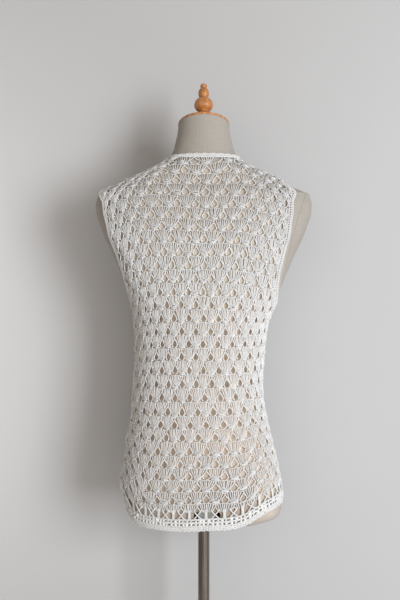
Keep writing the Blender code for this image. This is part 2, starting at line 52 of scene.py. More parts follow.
class Shade:
    """A node's output in a material; sums on it add Math nodes."""

    def __init__(self, tree, socket=None):
        self.tree = tree
        self.socket = socket

    def node(self, kind, settings=None, sockets=None, out=0):
        """Another node: first its settings, then the values or links of its sockets."""
        made = self.tree.nodes.new(kind)
        for name, value in (settings or {}).items():
            setattr(made, name, value)
        for name, value in (sockets or {}).items():
            if isinstance(value, Shade):
                self.tree.links.new(value.socket, made.inputs[name])
            else:
                made.inputs[name].default_value = value
        return Shade(self.tree, made.outputs[out])

    def maths(self, operation, *terms):
        """A Math node on this and other terms."""
        return self.node("ShaderNodeMath", {"operation": operation}, dict(enumerate(terms)))

    def __add__(self, other):
        return self.maths("ADD", self, other)

    def __sub__(self, other):
        return self.maths("SUBTRACT", self, other)

    def __rsub__(self, other):
        return self.maths("SUBTRACT", other, self)

    def __mul__(self, other):
        return self.maths("MULTIPLY", self, other)

    __radd__ = __add__
    __rmul__ = __mul__

    def wave(self):
        """The sine of this value."""
        return self.maths("SINE", self)

    def within(self, low, high):
        """How far this is from one value to another, from 0 to 1."""
        sockets = {"Value": self, "From Min": low, "From Max": high}
        return self.node("ShaderNodeMapRange", {"clamp": True}, sockets)

    def blend(self, first, second):
        """A colour between two others, by this value from 0 to 1."""
        first, second = [(*c, 1) if isinstance(c, tuple) else c for c in (first, second)]
        return self.node("ShaderNodeMix", {"data_type": "RGBA"}, {0: self, 6: first, 7: second}, 2)

    def noise(self, stretch, scale, detail=3.0):
        """Noise over this place, its scale set apart along each axis."""
        stretched = self.node("ShaderNodeVectorMath", {"operation": "MULTIPLY"}, {0: self, 1: stretch})
        sockets = {"Vector": stretched, "Scale": scale, "Detail": detail}
        return self.node("ShaderNodeTexNoise", {}, sockets)

    def bump(self, distance):
        """The normal of a surface raised by this height over a distance."""
        return self.node("ShaderNodeBump", {}, {"Height": self, "Distance": distance})

    def part(self, axis):
        """One part of this place."""
        return self.node("ShaderNodeSeparateXYZ", {}, {"Vector": self}, axis)


def new_finish(name, uniform, place="Object"):
    """A material, its shader with the values that are the same all over, and a place on it."""
    material = bpy.data.materials.new(name)
    material.use_nodes = True
    shader = material.node_tree.nodes["Principled BSDF"]
    for socket, value in uniform.items():
        shader.inputs[socket].default_value = value
    return material, shader, Shade(material.node_tree).node("ShaderNodeTexCoord", {}, {}, place)


def feed(shader, shades):
    """Links Shades to the sockets of a shader."""
    for socket, shade in shades.items():
        shade.tree.links.new(shade.socket, shader.inputs[socket])


linen, shader, place = new_finish("beige_linen", {"Roughness": 0.88, "Sheen Weight": 0.1})
weft = place.noise((1, 1, 16), 45)
warp = place.noise((16, 16, 1), 45)
worn = place.noise((1, 1, 1), 7)
bare = (weft * 0.5 + warp * 0.2 + worn * 0.3).within(0.34, 0.64).blend(LINEN_SHADED, LINEN)
# Painted light under the top: the linen is painted paler there for light that passes through the lace,
# most at the waist.
painted_light_under_top = place.part("Z").within(1.24, 1.12).blend(LINEN_PAINTED_LIGHT_UNDER_TOP, LINEN_PAINTED_LIGHT_WAIST)
painted_light_under_top = place.part("Z").within(0.83, 0.80).blend(painted_light_under_top, LINEN_PAINTED_LIGHT_UNDER_TOP)
# Painted shade: the linen on the middle and right of the hips is painted darker where the window light
# falls on it.
hip_painted_shade = place.part("Z").within(0.93, 0.81) * place.part("X").within(-0.12, 0.0)
hip_painted_shade = hip_painted_shade * place.part("X").within(0.13, 0.08)
painted_light_under_top = hip_painted_shade.blend(painted_light_under_top, LINEN_PAINTED_SHADE_HIPS)
middle = place.maths("ABSOLUTE", place.part("X")).within(0.165, 0.13)
covered = middle * place.part("Z").within(1.46, 1.44) * place.part("Z").within(0.765, 0.78)
threads = (place.part("Z") * 5600).wave()
feed(shader, {
    "Base Color": covered.blend(bare, painted_light_under_top),
    "Roughness": weft * 0.15 + 0.80,
    "Normal": (weft * 0.6 + warp * 0.4 + threads * 0.05).bump(0.0006),
})
for name in ("form_torso", "form_arm_cap_left", "form_arm_cap_right"):
    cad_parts[name].material_slots[0].material = linen

# The neck cap and its finial. Both are turned from beech, stained orange-brown
# and varnished, and the finial's tenon is glued into the cap's middle.
WOOD = (0.55, 0.245, 0.075)
WOOD_GRAIN = (0.36, 0.13, 0.035)

wood, shader, place = new_finish("turned_wood", {"Coat Weight": 0.35, "Coat Roughness": 0.25})
grain = place.noise((9, 9, 1), 22, 4)
pores = place.noise((30, 30, 2), 40)
feed(shader, {
    "Base Color": (grain * 0.75 + pores * 0.25).within(0.36, 0.62).blend(WOOD_GRAIN, WOOD),
    "Roughness": pores * 0.25 + 0.30,
    "Normal": (grain * 0.4 + pores * 0.6).bump(0.0002),
})
for name in ("neck_cap", "neck_finial"):
    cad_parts[name].material_slots[0].material = wood

# The stand. A dark-chromed steel tube stands in a flanged socket on a round
# base that is powder-coated black, like the plate under the form. The grey
# clamp that grips the tube is bare, slightly dulled steel.
CHROME = (0.30, 0.26, 0.235)
CHROME_DULL = (0.17, 0.145, 0.13)
POWDER_COAT = (0.018, 0.018, 0.019)
POWDER_DUSTY = (0.045, 0.043, 0.041)
BARE_STEEL = (0.34, 0.35, 0.32)
BARE_STEEL_DARK = (0.22, 0.225, 0.21)

chrome, shader, place = new_finish("dark_chrome", {"Metallic": 1.0})
drawn = place.noise((60, 60, 1), 12, 2)
smears = place.noise((1, 1, 1), 30)
feed(shader, {
    "Base Color": (drawn * 0.7 + smears * 0.3).within(0.35, 0.65).blend(CHROME_DULL, CHROME),
    "Roughness": smears * 0.16 + 0.10,
})
for name in ("stand_pole", "stand_socket"):
    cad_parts[name].material_slots[0].material = chrome

powder, shader, place = new_finish("black_powder_coat", {"Specular IOR Level": 0.4})
peel = place.noise((1, 1, 1), 900, 2)
dust = place.noise((1, 1, 1), 14)
feed(shader, {
    "Base Color": dust.within(0.45, 0.75).blend(POWDER_COAT, POWDER_DUSTY),
    "Roughness": dust * 0.3 + 0.35,
    "Normal": peel.bump(0.0002),
})
for name in ("stand_base", "form_flange"):
    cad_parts[name].material_slots[0].material = powder

steel, shader, place = new_finish("dull_steel", {"Metallic": 1.0})
turned = place.noise((1, 1, 40), 60, 2)
feed(shader, {
    "Base Color": turned.within(0.3, 0.7).blend(BARE_STEEL_DARK, BARE_STEEL),
    "Roughness": turned * 0.3 + 0.30,
    "Normal": turned.bump(0.0001),
})
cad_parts["form_clamp"].material_slots[0].material = steel

# The bracket in the hollow at the foot of the back. It is folded from one strip
# of steel sheet, painted grey-green, and is welded to the clamp and the flange.
BRACKET_FOLDS = ((-0.0138, -0.0065), (-0.0095, -0.0880), (0.0225, -0.0880), (0.0138, -0.0065))
BRACKET_HEIGHT = (0.7600, 0.7925)
BRACKET_SHEET = 0.0015
BRACKET_PAINT = (0.47, 0.49, 0.45)
BRACKET_SCUFFED = (0.38, 0.40, 0.37)

mesh = bpy.data.meshes.new("form_bracket")
points = [(x, y, z) for z in BRACKET_HEIGHT for x, y in BRACKET_FOLDS]
mesh.from_pydata(points, [], [(i, i + 1, i + 5, i + 4) for i in range(3)])
bracket = bpy.data.objects.new("form_bracket", mesh)
bpy.context.scene.collection.objects.link(bracket)
for kind, settings in (
    ("SOLIDIFY", {"thickness": BRACKET_SHEET, "offset": 0, "use_even_offset": True}),
    ("BEVEL", {"width": 0.0006, "segments": 2}),
):
    step = bracket.modifiers.new(kind.lower(), kind)
    for setting, value in settings.items():
        setattr(step, setting, value)
paint, shader, place = new_finish("grey_green_paint", {"Specular IOR Level": 0.4})
scuffs = place.noise((1, 1, 1), 60)
feed(shader, {
    "Base Color": scuffs.within(0.35, 0.7).blend(BRACKET_PAINT, BRACKET_SCUFFED),
    "Roughness": scuffs * 0.2 + 0.45,
    "Normal": scuffs.bump(0.0001),
})
mesh.materials.append(paint)
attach(bracket, "root")

# The yarn of the top. It is off-white mercerised cotton, about 2 mm thick and
# spun from three plies, and the whole top is crocheted with it.
COTTON = (0.94, 0.93, 0.915)
# The darker yarn colour: painted shade in the grooves between the plies, and the yarn's uneven tone
# elsewhere.
COTTON_SHADED = (0.86, 0.84, 0.81)
PLIES = 3
TWIST_LENGTH = 0.007   # of yarn for one turn of its plies

cotton, shader, place = new_finish("crochet_cotton", {
    "Sheen Weight": 0.1, "Sheen Roughness": 0.6,
    "Subsurface Weight": 0.35, "Subsurface Radius": (1.0, 0.85, 0.7), "Subsurface Scale": 0.003,
}, "UV")
body_place = place.node("ShaderNodeTexCoord", {}, {}, "Object")
ply_turns = 2 * math.pi * PLIES
plies = (place.part("X") * (ply_turns / TWIST_LENGTH) + place.part("Y") * ply_turns).wave()
fuzz = body_place.noise((1, 1, 1), 1400, 2)
lots = body_place.noise((1, 1, 1), 35)
# The plies darken the colour in their grooves as painted shade; the rest of the darkening is the yarn's
# uneven tone.
feed(shader, {
    "Base Color": (plies * 0.15 + lots * 0.6 + fuzz * 0.3).within(0.2, 0.6).blend(COTTON_SHADED, COTTON),
    "Roughness": fuzz * 0.2 + 0.70,
    "Normal": (plies * 0.6 + fuzz * 0.4).bump(0.0005),
})

# The back and the front. Each is crocheted upwards from the hem border in rows of fans: a knot
# of stitches, seven long stitches and a chain over them. Each row stands between the fans below
# it, which leaves drop-shaped holes, and the two panels are sewn at the sides and the shoulders.
CLOTH_CLEARANCE = 0.0009   # from the form, where the top lies on it
SEAM_GAP = 0.0003
HEM_BORDER_HEIGHT = 0.0345
ARMHOLE_EDGING = 0.0078    # width of the edging, from the armhole's edge to the fans
YARN_FLATNESS = 0.80       # of a strand's thickness to its width
FANS_ON_A_PANEL = 13
WIDEST_HEIGHT = 1.380      # the fans keep their width above this
NARROWEST_FAN = 0.0272
STRETCH_THINNING = 0.4     # the yarn is thinner where the fans are stretched wider
PULL_ACROSS = {"right": 0.035, "left": -0.03}    # the top is pulled to its right below the waist
SHOULDER_GATHER = 0.055    # the fans are this much closer by the shoulders, for a whole panel
SHOULDER_LIFT = 0.0045     # the rows climb this much from the middle to the shoulders
SAG = {"right": (0.062, 0.15), "left": (0.176, 0.50)}    # of the rows at the sides, and where it starts
SAG_GROWS = (1.10, 1.33)       # between these heights, as the next three do
LIFT_GROWS = (1.25, 1.38)
GATHER_GROWS = (1.24, 1.33)
PULL_FADES = (1.05, 1.15)
HALF_PANEL = 0.2           # about the width of half a panel
HALF_ARMHOLE = 0.12        # about half the height of an armhole
SHORTEST_PIECE = 0.15      # of a strand: what an edge leaves shorter than this is left out
TOP_LIMIT = 1.512          # well above the neckline
FORM_SECTIONS = (
    # height, half_width, back, front, squareness
    (0.740, 0.1560, 0.113, 0.106, 2.25),
    (0.783, 0.1540, 0.112, 0.105, 2.25),   # hips
    (0.829, 0.1500, 0.111, 0.103, 2.20),
    (0.869, 0.1430, 0.107, 0.100, 2.20),
    (0.909, 0.1330, 0.099, 0.097, 2.20),
    (0.949, 0.1225, 0.090, 0.093, 2.15),
    (0.989, 0.1150, 0.083, 0.090, 2.10),
    (1.029, 0.1120, 0.080, 0.089, 2.10),   # waist
    (1.069, 0.1135, 0.080, 0.092, 2.10),
    (1.109, 0.1180, 0.083, 0.098, 2.10),
    (1.149, 0.1260, 0.088, 0.108, 2.15),
    (1.189, 0.1430, 0.093, 0.120, 2.30),
    (1.207, 0.1510, 0.095, 0.125, 2.40),
    (1.238, 0.1630, 0.098, 0.128, 2.60),   # bust
    (1.264, 0.1740, 0.099, 0.126, 2.80),
    (1.287, 0.1840, 0.099, 0.118, 2.90),
    (1.309, 0.1950, 0.098, 0.108, 3.00),
    (1.335, 0.2050, 0.094, 0.096, 3.05),
    (1.355, 0.2120, 0.089, 0.086, 3.15),
    (1.377, 0.2140, 0.082, 0.077, 3.30),   # shoulder tips
    (1.3965, 0.2090, 0.074, 0.068, 3.60),
    (1.4065, 0.1840, 0.068, 0.062, 3.80),
    (1.4215, 0.1520, 0.062, 0.056, 3.80),
    (1.4410, 0.1140, 0.056, 0.051, 3.30),
    (1.4610, 0.0780, 0.052, 0.049, 2.50),   # neck base
    (1.4770, 0.0650, 0.050, 0.049, 2.10),
    (1.499, 0.0575, 0.048, 0.050, 2.00),
    (1.518, 0.0530, 0.046, 0.052, 2.00),
    (1.545, 0.0495, 0.044, 0.055, 2.00),
    (1.565, 0.0490, 0.043, 0.057, 2.00),
)
TOP_EASE = (
    # height, right, left, back, front: how far the top hangs clear of the form
    (0.740, 0.001, 0.001, 0.001, 0.002),
    (0.791, 0.001, 0.001, 0.001, 0.002),
    (0.829, 0.001, 0.014, 0.001, 0.003),
    (0.869, 0.001, 0.013, 0.002, 0.005),
    (0.909, 0.001, 0.019, 0.007, 0.011),
    (0.949, 0.002, 0.021, 0.014, 0.017),
    (0.989, 0.002, 0.026, 0.019, 0.021),
    (1.029, 0.003, 0.026, 0.021, 0.023),
    (1.069, 0.004, 0.022, 0.019, 0.021),
    (1.109, 0.003, 0.017, 0.014, 0.015),
    (1.149, 0.002, 0.012, 0.008, 0.008),
    (1.189, 0.002, 0.002, 0.004, 0.002),
    (1.240, 0.001, 0.001, 0.001, 0.001),
    (1.300, 0.001, 0.001, 0.001, 0.003),
    (1.360, 0.001, 0.001, 0.001, 0.001),
    (1.392, 0.0017, 0.0017, 0.0023, 0.0028),
    (1.414, 0.0013, 0.0013, 0.0019, 0.0026),
    (1.444, 0.0007, 0.0007, 0.0013, 0.0019),
    (1.565, 0.0005, 0.0005, 0.0005, 0.0005),
)
HEM_EDGE = (
    # angle round the body, height: 0 is the right side and -90 the centre back
    (-210, 0.7740), (-180, 0.7930), (-161, 0.7840), (-145, 0.7645), (-125, 0.7605), (-90, 0.7625),
    (-63, 0.7680), (-47, 0.7840), (-20, 0.7930), (0, 0.7930), (30, 0.7850), (60, 0.7720),
    (90, 0.7680), (120, 0.7700), (145, 0.7790), (163, 0.7880), (180, 0.7930), (199, 0.7840),
)
NECKLINE_HEIGHT = 1.465
NECK_DROP = {"back": 0.001, "front": 0.062}
NECK_DROP_START = 1.300
ARMHOLES = {
    # lowest, highest, and reach from the side at the foot and the head in degrees
    "right": {"low": 1.190, "high": 1.418, "back": (34, 50), "front": (40, 56)},
    "left": {"low": 1.198, "high": 1.405, "back": (24, 41), "front": (34, 48)},
}
ARMHOLE_ROUNDING = {"foot": 3, "head": 5}    # powers: a higher one has squarer corners
SHOULDER_SLOPE = 0.47
FAN_ROWS = (
    # row, height of its knots at the centre back
    (0, 0.7993), (1, 0.8186), (2, 0.8378), (3, 0.8578), (4, 0.8790), (5, 0.9020), (6, 0.9268),
    (7, 0.9500), (8, 0.9742), (9, 1.0012), (10, 1.0275), (12, 1.0815), (14, 1.1300), (16, 1.1790),
    (18, 1.2275), (20, 1.2780), (22, 1.3250), (24, 1.3705), (26, 1.4160), (28, 1.4540), (30, 1.4900),
    (32, 1.5280), (34, 1.5660),
)
FAN_WIDTHS = (
    # height, width of the fans at the centre
    (0.780, 0.0343), (0.840, 0.0347), (0.880, 0.0345), (0.930, 0.0322), (0.980, 0.0296),
    (1.030, 0.0277), (1.080, 0.0272), (1.130, 0.0272), (1.179, 0.0280), (1.2285, 0.0290),
    (1.278, 0.0309), (1.325, 0.0333), (1.371, 0.0359), (1.417, 0.0378), (1.510, 0.0395),
)
BACK_SLIP = (
    # height, then how far the back has slipped to its right and up, in millimetres: each is four
    # terms of the share of the way to the side, even, straight, squared and cubed. The terms come
    # from a least-squares fit, and were not set by hand.
    (0.79, 3.4, -11.8, 20.8, 2.6, -3.5, -6.0, -35.3, -13.0),
    (0.85, 3.5, -6.7, 17.9, 1.0, 2.4, -4.9, -24.7, -6.2),
    (0.91, 4.5, -1.9, 15.0, -1.0, 1.8, -1.9, -15.4, 1.3),
    (0.97, 2.3, 0.6, 12.4, -5.3, 1.0, -0.1, -8.3, 7.3),
    (1.03, -0.8, 1.6, 9.9, -12.7, 2.2, -0.2, -5.1, 10.6),
    (1.09, -1.7, 2.8, 7.6, -22.3, 0.7, -2.4, -4.6, 11.9),
    (1.15, -1.2, 3.5, 6.3, -33.2, -0.4, -4.2, -0.9, 12.4),
    (1.21, -1.3, -0.3, 5.2, -43.7, -0.3, -2.9, 3.6, 12.7),
    (1.27, 0.3, -4.2, 2.8, -49.1, -1.2, -2.2, 2.3, 12.3),
    (1.33, 1.3, -3.8, -3.6, -45.5, -1.8, -4.4, -10.1, 8.3),
    (1.39, 2.9, -2.7, -9.9, -35.1, -3.9, -1.9, -16.5, 1.9),
    (1.45, 5.6, 16.8, -13.5, -20.0, 0.6, 13.3, 2.6, -5.8),
    (1.52, 7.7, 36.4, -17.1, -4.9, 4.3, 28.7, 21.9, -13.3),
)


def smooth_table(rows):
    """Reads a table's columns at any values of its first one, on smooth curves."""
    table = np.array(rows, dtype=float)
    places = table[:, 0]
    slopes = np.gradient(table[:, 1:], places, axis=0)

    def read(place):
        place = np.asarray(place, dtype=float)
        index = np.clip(np.searchsorted(places, place) - 1, 0, len(places) - 2)
        span = (places[index + 1] - places[index])[..., None]
        part = (place - places[index])[..., None] / span
        start = (1 + 2 * part) * (1 - part) ** 2 * table[index, 1:]
        end = part ** 2 * (3 - 2 * part) * table[index + 1, 1:]
        lean_out = span * part * (1 - part) ** 2 * slopes[index]
        lean_in = span * part ** 2 * (part - 1) * slopes[index + 1]
        return np.moveaxis(start + end + lean_out + lean_in, -1, 0)

    return read


form_section = smooth_table(FORM_SECTIONS)
top_ease = smooth_table(TOP_EASE)
hem_edge = smooth_table(HEM_EDGE)
row_height = smooth_table(FAN_ROWS)
fan_width = smooth_table(FAN_WIDTHS)
back_slip = smooth_table(BACK_SLIP)


def smooth_step(value, low, high):
    """Rises smoothly from 0 to 1 between two values."""
    part = np.clip((value - low) / (high - low), 0, 1)
    return part ** 2 * (3 - 2 * part)


def between(table, row, column):
    """Reads a table between its rows and columns."""
    low_row, low_column = row.astype(int), column.astype(int)
    up, on = row - low_row, column - low_column
    low = table[low_row, low_column] * (1 - on) + table[low_row, low_column + 1] * on
    high = table[low_row + 1, low_column] * (1 - on) + table[low_row + 1, low_column + 1] * on
    return low * (1 - up) + high * up


def distances(points):
    """How far each point is along its own line of points."""
    steps = np.linalg.norm(np.diff(points, axis=-2), axis=-1)
    return np.concatenate([np.zeros((*steps.shape[:-1], 1)), np.cumsum(steps, axis=-1)], axis=-1)


def hem_height(angle):
    """The height of the hem's edge at an angle in radians."""
    return hem_edge(np.degrees(np.clip(angle, -math.pi, math.pi)))[0]


def form_points(angle, height):
    """Points on the form; the angle runs from the right side towards the front."""
    half_width, back, front, squareness = form_section(height)
    across, along = np.cos(angle), np.sin(angle)
    corner = (abs(across) ** squareness + abs(along) ** squareness) ** (-1 / squareness)
    reach = np.where(along > 0, front, back)
    return np.stack([half_width * corner * across, reach * corner * along, height], axis=-1)


def form_normals(angle, height):
    """The outward directions of the form's surface."""
    round_it = form_points(angle + 0.01, height) - form_points(angle - 0.01, height)
    up_it = form_points(angle, height + 0.001) - form_points(angle, height - 0.001)
    normal = np.cross(round_it, up_it)
    return normal / np.linalg.norm(normal, axis=-1, keepdims=True)


def top_points(angle, height, lift=0.0):
    """Points of the top, lifted outwards from the inner face of its cloth, and the directions out."""
    angle, height, lift = np.broadcast_arrays(angle, height, lift)
    right, left, back, front = top_ease(height)
    side = np.where(np.cos(angle) > 0, right, left)
    face = np.where(np.sin(angle) > 0, front, back)
    ease = face + (side - face) * np.cos(angle) ** 2
    normal = form_normals(angle, height)
    return form_points(angle, height) + normal * (CLOTH_CLEARANCE + ease + lift)[..., None], normal


def spread_at(height):
    """How far one radian round the body goes at a height, beside the armholes."""
    return np.linalg.norm(form_points(-0.9, height) - form_points(-0.7, height), axis=-1) / 0.2


def neck_drop(face, level, angle):
    """How far a place hangs below its level, to follow the neckline above it."""
    climb = smooth_step(level, NECK_DROP_START, NECKLINE_HEIGHT)
    return NECK_DROP[face] * climb * abs(np.sin(angle)) ** 5


def side_reach(angle):
    """How far an angle is from the nearer side, in radians."""
    turned = abs(np.arctan2(np.sin(angle), np.cos(angle)))
    return np.minimum(turned, math.pi - turned)


def beyond_armhole(face, angle, height, grow):
    """How far a place lies outside the armholes, grown into the cloth; inside them it is negative."""
    level = height + neck_drop(face, height + neck_drop(face, height, angle), angle)
    nearest = np.full(np.shape(angle), 1.0)
    for side, sign in (("right", 1), ("left", -1)):
        hole = ARMHOLES[side]
        low, high = hole["low"] - grow, hole["high"] + grow * SHOULDER_SLOPE
        place = (level - (low + high) / 2) / ((high - low) / 2)
        foot, head = hole[face]
        reach = np.radians(foot + (head - foot) * (np.clip(place, -1, 1) + 1) / 2)
        reach = reach + grow / spread_at(height)
        power = np.where(place > 0, ARMHOLE_ROUNDING["head"], ARMHOLE_ROUNDING["foot"])
        outwards = ((side_reach(angle) / reach) ** power + abs(place) ** power) ** (1 / power) - 1
        outwards = np.minimum(nearest, outwards * HALF_ARMHOLE)
        nearest = np.where(np.cos(angle) * sign > 0, outwards, nearest)
    return nearest


# How far it is along the cloth from the centre of each face to each side, at
# these heights, and the turns at even shares of the way.
heights = np.arange(0.776, 1.516, 0.004)
turns = np.linspace(0, math.pi / 2, 61)
girths = {}
for face, centre in (("back", -math.pi / 2), ("front", math.pi / 2)):
    for side, sign in (("right", 1), ("left", -1)):
        if face == "front":
            sign = -sign
        grid, _ = top_points(centre + sign * turns[None, :], heights[:, None], 0.001)
        lengths = distances(grid)
        shares = np.linspace(0, 1, len(turns))
        at_shares = [np.interp(shares, row / row[-1], turns) for row in lengths]
        girths[face, side] = (lengths[:, -1], np.array(at_shares))


def far_across(face, side, across, level):
    """How far from the centre a place lies along the cloth, by its number of fans across."""
    half = FANS_ON_A_PANEL / 2
    width = fan_width(level)[0] * (1 + PULL_ACROSS[side] * (1 - smooth_step(level, *PULL_FADES)))
    girth = np.interp(np.minimum(level, WIDEST_HEIGHT), heights, girths[face, side][0])
    left_over = girth - width * half - SHOULDER_GATHER * smooth_step(level, *GATHER_GROWS)
    return width * np.abs(across) + left_over * (np.abs(across) / half) ** 3


def turn_at(face, side, far, height):
    """The turn from the centre to a place that far across, and its share of the way."""
    girth, at_shares = girths[face, side]
    share = far / np.interp(height, heights, girth)
    row = np.clip((height - heights[0]) / (heights[1] - heights[0]), 0, len(heights) - 1.001)
    column = np.clip(share, 0, 0.9999) * (len(turns) - 1)
    return between(at_shares, row, column) + np.maximum(share - 1, 0) * math.pi / 2, share


# The heights on the shoulders that these levels reach, measured along the cloth,
# at these distances from the centre.
levels = np.arange(1.330, 1.560, 0.0025)
fars = np.linspace(0, 0.30, 41)
climbs = {}
for face, side in girths:
    sign = (1 if side == "right" else -1) * (1 if face == "back" else -1)
    grid_levels = np.minimum(levels, TOP_LIMIT)[None, :] + np.zeros((len(fars), 1))
    turn, _ = turn_at(face, side, fars[:, None] + np.zeros((1, len(levels))), grid_levels)
    centre = -math.pi / 2 if face == "back" else math.pi / 2
    grid = form_points(centre + sign * np.minimum(turn, math.pi / 2), grid_levels)
    steps = np.linalg.norm(np.diff(grid, axis=1), axis=-1) + 1e-6
    climbed = np.concatenate([np.zeros((len(fars), 1)), np.cumsum(steps, axis=1)], axis=1)
    climbs[face, side] = np.array([np.interp(climbed[0], row, grid_levels[0]) for row in climbed]).T


def over_shoulder(face, side, far, level):
    """The height of a place where the rows climb over the shoulder, evenly along the cloth."""
    column = np.clip(far / fars[1], 0, len(fars) - 1.001)
    row = np.clip((level - levels[0]) / (levels[1] - levels[0]), 0, len(levels) - 1.001)
    return np.where(level > levels[0], between(climbs[face, side], row, column), level)


def lace_places(face, across, row):
    """Where a place in the lace lies: its angle, height, and share of the way to the side."""
    centre, forward = (-math.pi / 2, 1) if face == "back" else (math.pi / 2, -1)
    across = np.asarray(across, dtype=float)
    level = row_height(row)[0]
    height = level

    def placed(climbed):
        """The angle and share of the way of the places at a height, and that height on the shoulders."""
        sides = []
        for side in ("right", "left"):
            far = far_across(face, side, across, climbed)
            on_form = over_shoulder(face, side, far, climbed)
            sides.append((*turn_at(face, side, far, on_form), on_form))
        turn, share, on_form = [np.where(across > 0, right, left) for right, left in zip(*sides)]
        return centre + forward * turn * np.where(across > 0, 1, -1), share, on_form

    for _ in range(3):
        angle, share, _ = placed(height)
        hem_rise = (hem_height(angle) - hem_height(-math.pi / 2)) * (1 - smooth_step(row, 0, 11))
        out = np.abs(np.cos(angle))
        sags = [depth * np.maximum(out - start, 0) ** 2 for depth, start in (SAG["right"], SAG["left"])]
        sag = np.where(np.cos(angle) > 0, *sags) * smooth_step(level, *SAG_GROWS)
        sag = sag - SHOULDER_LIFT * smooth_step(out, 0.05, 0.45) * smooth_step(level, *LIFT_GROWS)
        height = level + hem_rise - sag
    reach = np.clip(share, 0, 1) * np.sign(across) if face == "back" else np.sign(across)
    terms = np.stack([np.ones(reach.shape), reach, reach ** 2, reach ** 3])
    slip = back_slip(height) / 1000
    slip_across, slip_up = (slip[:4] * terms).sum(axis=0), (slip[4:] * terms).sum(axis=0)
    if face == "front":
        slip_up = slip_up * np.clip(share, 0, 1) ** 3
    angle, share, height = placed(height + slip_up)
    if face == "back":
        ahead, behind = form_points(angle + 0.05, height), form_points(angle - 0.05, height)
        one_radian = np.linalg.norm(ahead - behind, axis=-1) * 10
        angle = angle + slip_across * (1 - np.clip(share, 0, 1) ** 8) / one_radian
    return angle, height, share


def inside_panel(face, across, row):
    """How far inside the panel's edges a place in the lace lies."""
    angle, height, share = lace_places(face, across, row)
    from_hem = height - hem_height(angle) - HEM_BORDER_HEIGHT
    from_neck = NECKLINE_HEIGHT - NECK_DROP[face] * abs(np.sin(angle)) ** 5 - height
    from_side = (1 - share) * HALF_PANEL - SEAM_GAP
    from_armhole = beyond_armhole(face, angle, height, ARMHOLE_EDGING)
    return np.minimum(np.minimum(from_hem, from_neck), np.minimum(from_side, from_armhole))


def trim_to_panel(face, paths):
    """Cuts strands off at the panel's edges; a strand's points are (across, row, lift, radius)."""
    within = inside_panel(face, paths[..., 0], paths[..., 1])
    kept = list(paths[(within > 0).all(axis=1)])
    count = paths.shape[1]
    for strand, depth in zip(paths, within):
        if (depth > 0).all() or not (depth > 0).any():
            continue
        runs = np.flatnonzero(np.diff(np.concatenate([[False], depth > 0, [False]]).astype(int)))
        starts, ends = runs[::2], runs[1::2] - 1
        longest = np.argmax(ends - starts)
        start, end = starts[longest], ends[longest]
        first = start - (depth[start] / (depth[start] - depth[start - 1]) if start else 0)
        last = end + (depth[end] / (depth[end] - depth[end + 1]) if end < count - 1 else 0)
        if last - first > SHORTEST_PIECE * (count - 1):
            stops = np.linspace(first, last, count)
            kept.append(np.stack([np.interp(stops, np.arange(count), c) for c in strand.T], axis=1))
    return np.array(kept).reshape(-1, count, 4)


def strand_tubes(centres, normals, radii, sides=5, closed=False):
    """Round strands along their centres, as (points, quads, caps, places for their plies)."""
    if closed:
        tangents = np.roll(centres, -1, axis=1) - np.roll(centres, 1, axis=1)
    else:
        tangents = np.gradient(centres, axis=1)
    tangents /= np.linalg.norm(tangents, axis=-1, keepdims=True)
    beside = np.cross(normals, tangents)
    beside /= np.linalg.norm(beside, axis=-1, keepdims=True)
    out = np.cross(tangents, beside)
    turn = 2 * math.pi * np.arange(sides) / sides
    ring = YARN_FLATNESS * out[:, :, None] * np.cos(turn)[:, None]
    ring = ring + beside[:, :, None] * np.sin(turn)[:, None]
    points = centres[:, :, None] + ring * radii[:, :, None, None]
    strands, stops = centres.shape[:2]
    steps = np.linalg.norm(np.diff(centres, axis=1), axis=-1)
    along = np.concatenate([np.zeros((strands, 1)), np.cumsum(steps, axis=1)], axis=1)
    index = np.arange(strands * stops * sides).reshape(strands, stops, sides)
    here = index if closed else index[:, :-1]
    after = np.roll(index, -1, axis=1) if closed else index[:, 1:]
    beside_here, beside_after = np.roll(here, -1, axis=2), np.roll(after, -1, axis=2)
    quads = np.stack([here, after, beside_after, beside_here], axis=-1).reshape(-1, 4)
    length = along if closed else along[:, :-1]
    next_length = along + steps.mean(axis=1)[:, None] if closed else along[:, 1:]
    round_it = np.broadcast_to(np.arange(sides) / sides, here.shape)
    corners = [(length, 0), (next_length, 0), (next_length, 1), (length, 1)]
    places = [np.stack([np.broadcast_to(far[:, :, None], here.shape), round_it + more / sides], axis=-1)
              for far, more in corners]
    places = np.stack(places, axis=3).reshape(-1, 2)
    caps = np.zeros((0, sides), int)
    if not closed:
        caps = np.concatenate([index[:, 0], index[:, -1, ::-1]])
    return points.reshape(-1, 3), quads, caps, places


def make_yarn(name, tubes):
    """One mesh of many strands of yarn, which rides on the part."""
    points, faces, places = [], [], []
    count = 0
    for strand_points, quads, caps, quad_places in tubes:
        points.append(strand_points)
        faces += (quads + count).tolist()
        places.append(quad_places)
        faces += (caps + count).tolist()
        places.append(np.zeros((caps.size, 2)))
        count += len(strand_points)
    mesh = bpy.data.meshes.new(name)
    mesh.from_pydata(np.concatenate(points), [], faces)
    plies_along = mesh.uv_layers.new(name="plies_along")
    plies_along.data.foreach_set("uv", np.concatenate(places).astype(np.float32).ravel())
    mesh.shade_smooth()
    mesh.materials.append(cotton)
    piece = bpy.data.objects.new(name, mesh)
    bpy.context.scene.collection.objects.link(piece)
    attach(piece, "root")
    return piece


